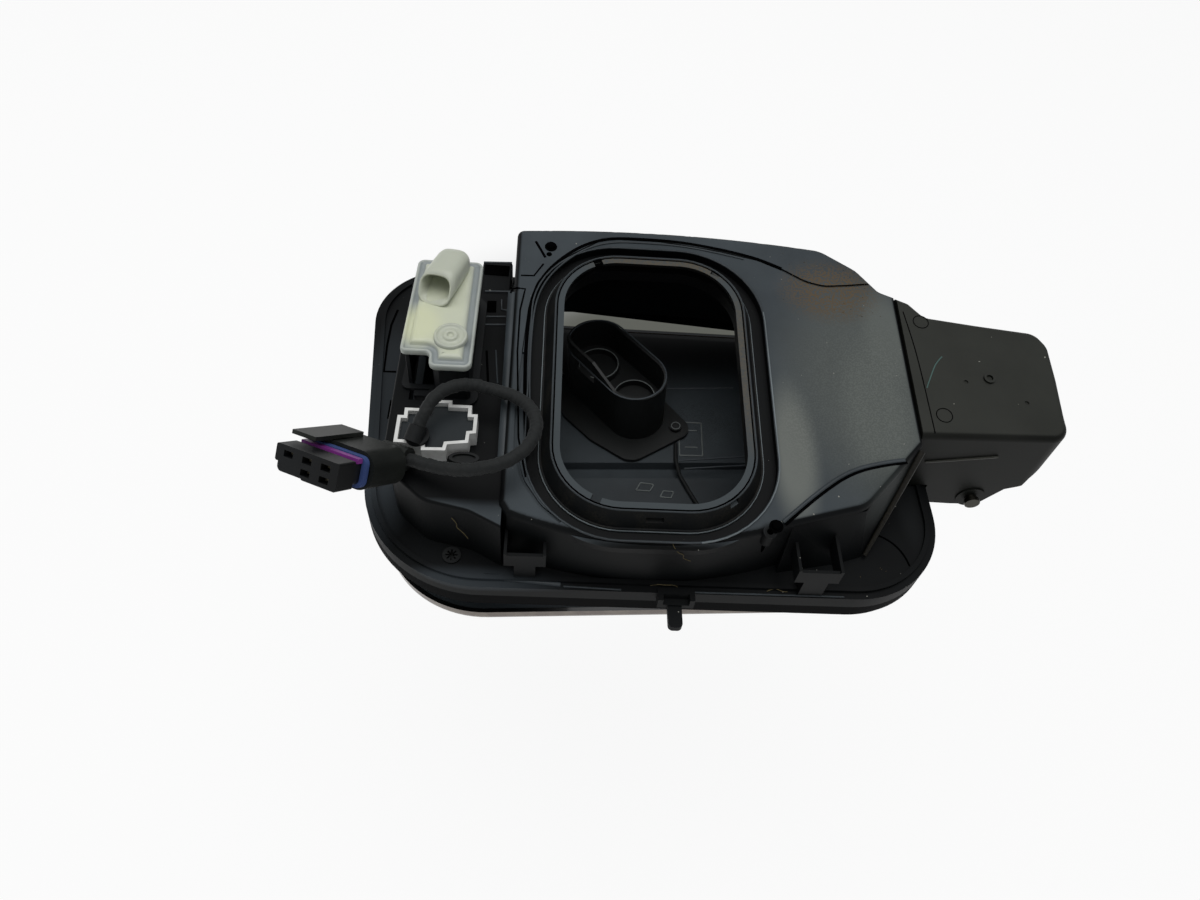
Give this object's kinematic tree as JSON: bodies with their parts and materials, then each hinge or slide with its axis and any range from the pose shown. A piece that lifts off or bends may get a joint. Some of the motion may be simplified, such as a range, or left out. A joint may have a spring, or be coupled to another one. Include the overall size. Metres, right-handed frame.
{
  "type": "fuel filler flap module",
  "caption": "Flap module of a car: flanged pot with a gasketed aperture, hinged painted flap, lock drive, lamp box and a wired plug.",
  "frame": {"origin": "centre of the inlet aperture on the rear face of the pot", "axes": "+Z points into the car body, square to the flange and away from the flap; +X points from the pot to the hinge; +Y runs along the hinge pin"},
  "size_m": [0.3208, 0.1956, 0.1107],
  "materials": {
    "moulding_black": "fine grain, dusty",
    "moulding_brown": "fine grain, dusty",
    "moulding_grey": "smooth",
    "soft_black": "matt, dusty",
    "soft_tan": "matt, dusty",
    "steel": "zinc plated",
    "natural_plastic": "translucent",
    "white_plastic": "smooth",
    "taped_lead": "textile tape",
    "blue_silicone": "smooth",
    "purple_plastic": "smooth",
    "contact_metal": "plated",
    "body_paint": "painted"
  },
  "bodies": {
    "housing": {"pot_housing": "moulding_black", "flange_seal": "soft_black", "aperture_gasket": "soft_black", "hinge_box": "moulding_brown", "hinge_strip": "soft_tan", "hinge_pin": "steel", "actuator_body": "moulding_black", "actuator_cover": "natural_plastic", "pin_boot": "soft_black", "lamp_housing": "white_plastic", "lamp_lid": "moulding_black", "cable_gland": "soft_black", "oval_plug": "soft_black", "star_plug": "soft_black", "pigtail": "taped_lead", "connector_collar": "moulding_grey", "connector_housing": "moulding_black", "connector_seal": "blue_silicone", "contacts": "contact_metal"},
    "flap": {"flap_skin": "body_paint", "flap_liner": "moulding_black", "hinge_arm": "moulding_black", "arm_screws": "steel", "cap_holder": "moulding_black", "holder_rivets": "moulding_black", "cap_tether": "soft_black", "striker": "moulding_black", "flap_bumpers": "soft_black"},
    "lock_pin": {"lock_pin": "steel"},
    "plug_lock": {"connector_lock": "purple_plastic"}
  },
  "joints": [
    {"name": "flap_hinge", "type": "hinge", "parent": "housing", "child": "flap", "pos_m": [0.1525, 0, -0.0465], "axis": [0, -1, 0], "range_deg": [-4, 84]},
    {"name": "pin_slide", "type": "slide", "parent": "housing", "child": "lock_pin", "axis": [1, 0, 0], "range_m": [0, 0.008]},
    {"name": "plug_lock_slide", "type": "slide", "parent": "housing", "child": "plug_lock", "axis": [0.8766, -0.4417, 0.1912], "range_m": [0, 0.0025]}
  ]
}
